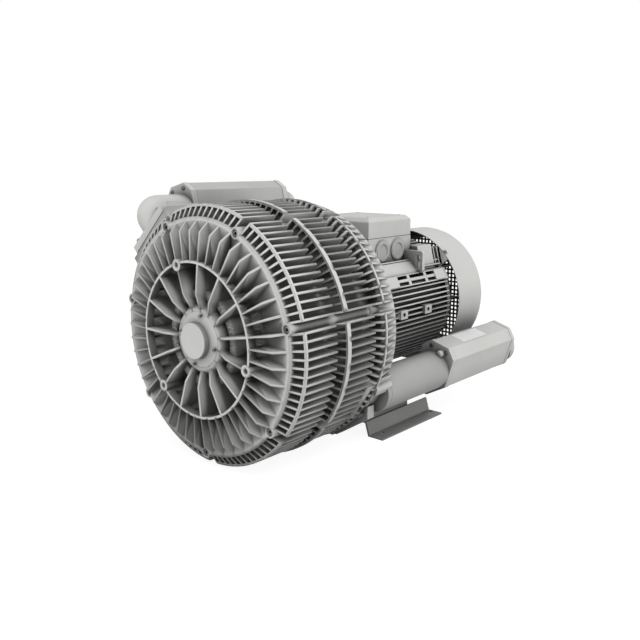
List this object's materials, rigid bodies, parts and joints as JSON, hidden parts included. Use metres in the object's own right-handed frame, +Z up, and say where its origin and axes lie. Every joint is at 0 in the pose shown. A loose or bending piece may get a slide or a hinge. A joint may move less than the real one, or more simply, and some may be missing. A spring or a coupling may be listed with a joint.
{
  "type": "side channel blower",
  "caption": "Floor-standing side channel blower with a ribbed drum casing, a flanged fan-cooled motor, two pipe-fed box silencers and angle feet.",
  "frame": {"origin": "middle of the foot bolt pattern, on the underside of the feet", "axes": "+Y along the shaft from the impeller end to the motor end, +Z up, +X to the right seen from the impeller end"},
  "size_m": [0.5236, 0.8435, 0.5528],
  "materials": {
    "casing_paint": "matt light grey paint on cast aluminium",
    "motor_paint": "matt light grey paint on cast iron",
    "sheet_paint": "matt light grey paint on sheet steel",
    "bright_steel": "zinc plated fasteners",
    "shaft_steel": "turned steel",
    "impeller_metal": "bare cast aluminium",
    "core_steel": "stacked laminations",
    "copper_winding": "varnished copper wire",
    "dark_rubber": "black rubber",
    "fan_plastic": "black moulded plastic",
    "plug_plastic": "grey moulded plastic",
    "board_plastic": "brown moulded board",
    "stud_brass": "brass",
    "foam": "open cell sound absorbing foam"
  },
  "bodies": {
    "root": {"front_casing": "casing_paint", "middle_casing": "casing_paint", "rear_casing": "casing_paint", "hub_cap": "casing_paint", "casing_bolts": "bright_steel", "hub_cap_screws": "bright_steel", "shaft_seals": "dark_rubber", "bearing_outer_rings": "shaft_steel", "drive_end_shield": "motor_paint", "motor_housing": "motor_paint", "tail_end_shield": "motor_paint", "stator_core": "core_steel", "stator_windings": "copper_winding", "fan_cowl": "sheet_paint", "cowl_screws": "bright_steel", "fan_grille": "sheet_paint", "terminal_box": "casing_paint", "blanking_plugs": "plug_plastic", "box_gasket": "dark_rubber", "box_lid": "casing_paint", "box_lid_screws": "bright_steel", "terminal_board": "board_plastic", "terminal_studs": "stud_brass", "lifting_bracket": "motor_paint", "right_pipe": "sheet_paint", "left_elbow": "casing_paint", "port_gasket": "dark_rubber", "elbow_screws": "bright_steel", "foot_right": "sheet_paint", "foot_left": "sheet_paint", "foot_screws": "bright_steel", "right_silencer_cap": "casing_paint", "right_silencer_box": "sheet_paint", "right_silencer_lining": "foam", "right_silencer_end_cap": "casing_paint", "right_silencer_screws": "bright_steel", "left_silencer_cap": "casing_paint", "left_silencer_box": "sheet_paint", "left_silencer_lining": "foam", "left_silencer_end_cap": "casing_paint", "left_silencer_screws": "bright_steel"},
    "rotor": {"shaft": "shaft_steel", "shaft_keys": "shaft_steel", "shaft_nut": "shaft_steel", "shaft_spacers": "shaft_steel", "impeller_first_stage": "impeller_metal", "impeller_second_stage": "impeller_metal", "rotor_core": "core_steel", "cooling_fan": "fan_plastic", "bearing_inner_rings": "shaft_steel"}
  },
  "joints": [
    {"name": "rotor_spin", "type": "hinge", "parent": "root", "child": "rotor", "pos_m": [0, -0.2015, 0.264], "axis": [0, 1, 0], "continuous": true}
  ]
}
